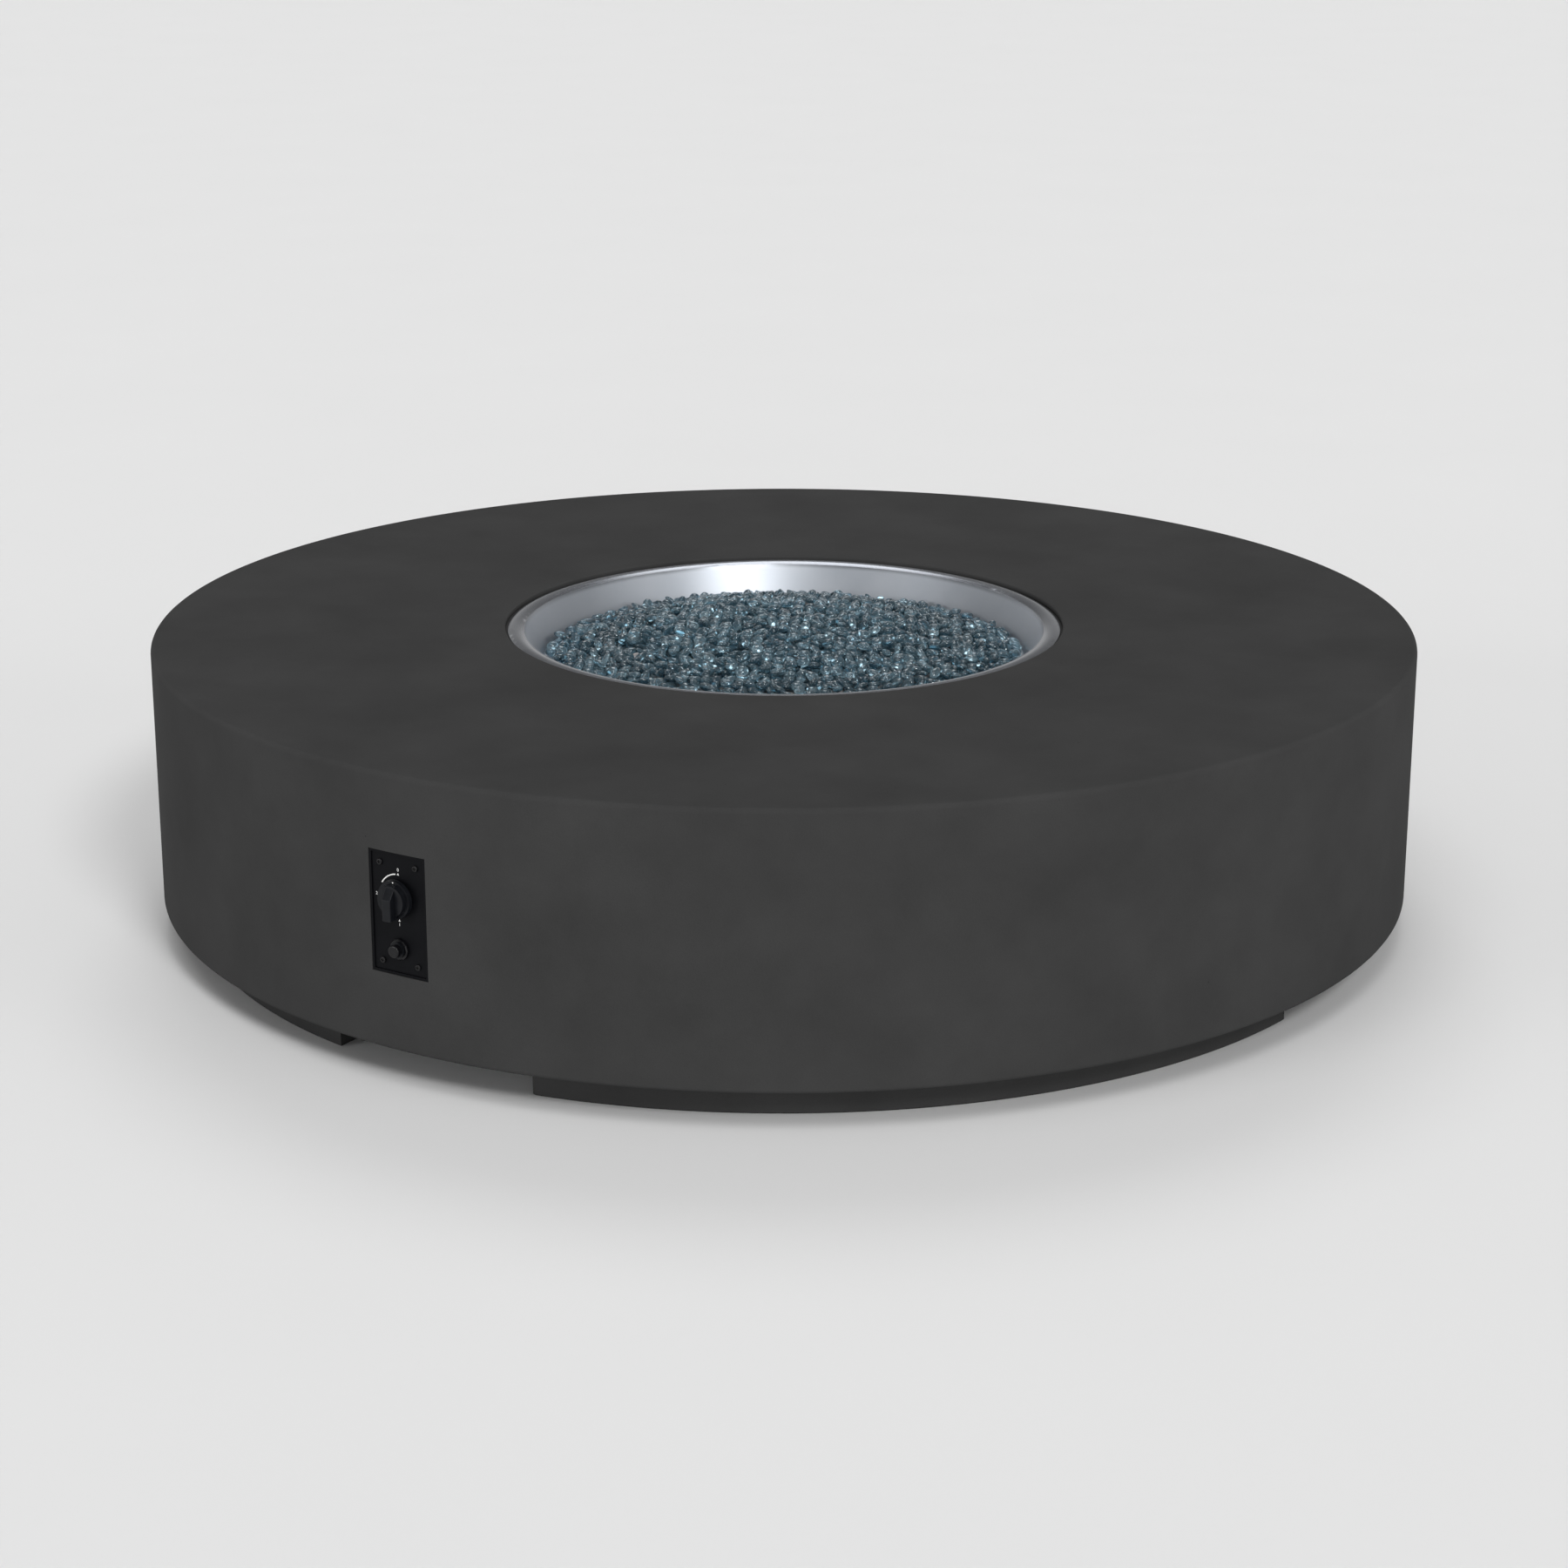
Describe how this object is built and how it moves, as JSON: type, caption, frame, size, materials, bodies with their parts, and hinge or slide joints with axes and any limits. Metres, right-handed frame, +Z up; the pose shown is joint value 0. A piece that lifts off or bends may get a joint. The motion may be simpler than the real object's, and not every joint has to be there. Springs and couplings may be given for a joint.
{
  "type": "gas fire table",
  "caption": "Low round concrete gas fire table with a glass-filled stainless pan, a ring burner, a side control panel with gas knob and igniter button, and inset curved feet.",
  "frame": {"origin": "on the floor, under the centre of the round body", "axes": "+Z up, the control panel faces -Y, +X to the right of someone facing the panel"},
  "size_m": [1.524, 1.543, 0.353],
  "materials": {
    "concrete": "matte",
    "zinc_steel": "satin",
    "stainless": "satin",
    "brass": "satin",
    "black_rubber": "matte",
    "red_silicone": "satin",
    "black_steel": "satin",
    "black_plastic": "satin",
    "gloss_black": "gloss",
    "battery_jacket": "satin",
    "white_ceramic": "gloss",
    "tinted_glass": "polished"
  },
  "bodies": {
    "base": {"concrete_shell": "concrete", "foot_front_left": "concrete", "foot_front_right": "concrete", "foot_rear_left": "concrete", "foot_rear_right": "concrete", "foot_bolts": "zinc_steel", "foot_inserts": "zinc_steel", "fire_pan": "stainless", "ring_burner": "stainless", "burner_nipple": "stainless", "nipple_washer": "zinc_steel", "nipple_locknut": "zinc_steel", "air_mixer": "brass", "gas_orifice": "brass", "burner_elbow": "brass", "gas_hose": "black_rubber", "hose_nuts": "brass", "panel_frame": "black_steel", "control_panel": "black_steel", "panel_screws": "black_steel", "frame_screws": "zinc_steel", "valve_body": "brass", "valve_cap": "brass", "valve_locknut": "zinc_steel", "stem_spring": "zinc_steel", "inlet_elbow": "brass", "outlet_elbow": "brass", "igniter_barrel": "black_plastic", "igniter_bezel": "gloss_black", "igniter_spring": "zinc_steel", "igniter_battery": "battery_jacket", "ignition_wire": "red_silicone", "wire_clips": "black_plastic", "electrode_boot": "black_rubber", "electrode_insulator": "white_ceramic", "electrode_rod": "stainless", "electrode_bracket": "stainless", "bracket_screws": "zinc_steel", "glass_bed": "tinted_glass"},
    "stem_slider": {"stem_collar": "brass"},
    "knob": {"valve_stem": "brass", "control_knob": "black_plastic"},
    "button": {"igniter_button": "gloss_black"}
  },
  "joints": [
    {"name": "knob_push", "type": "slide", "parent": "base", "child": "stem_slider", "axis": [0, 1, 0], "range_m": [0, 0.004], "stiffness_N_per_m": 800, "deforming": ["stem_spring"]},
    {"name": "knob_turn", "type": "hinge", "parent": "stem_slider", "child": "knob", "pos_m": [0, -0.759, 0.2136], "axis": [0, -1, 0], "range_deg": [0, 180]},
    {"name": "igniter_press", "type": "slide", "parent": "base", "child": "button", "axis": [0, 1, 0], "range_m": [0, 0.003], "stiffness_N_per_m": 500, "deforming": ["igniter_spring"]}
  ]
}
